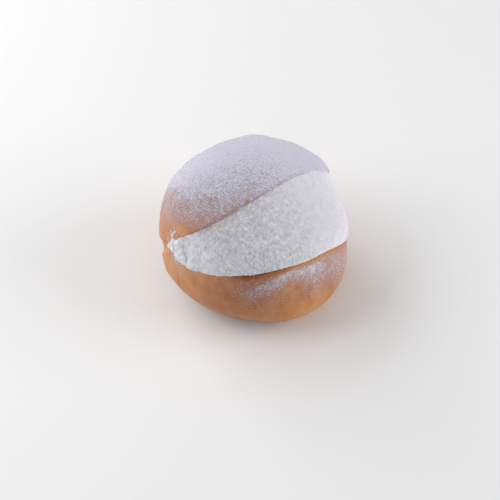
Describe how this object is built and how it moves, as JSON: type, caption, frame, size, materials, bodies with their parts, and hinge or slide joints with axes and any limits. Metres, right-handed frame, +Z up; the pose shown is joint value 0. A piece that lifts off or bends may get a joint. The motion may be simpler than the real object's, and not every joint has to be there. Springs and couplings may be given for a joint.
{
  "type": "maritozzo",
  "caption": "Round sweet bun slit from the front, its wedge opening filled with whipped cream scraped flat, dusted with icing sugar.",
  "frame": {"origin": "middle of the object's box on the surface that it rests on", "axes": "+Z up, the mouth with its cream opens towards -Y, +X to the right as seen from the front"},
  "size_m": [0.09, 0.0952, 0.0687],
  "materials": {
    "crust": "baked brown dough, matt, heavily dusted with icing sugar on top",
    "cream": "whipped cream scraped flat, dusted with icing sugar"
  },
  "bodies": {
    "root": {"bun": "crust", "cream": "cream"}
  },
  "joints": []
}
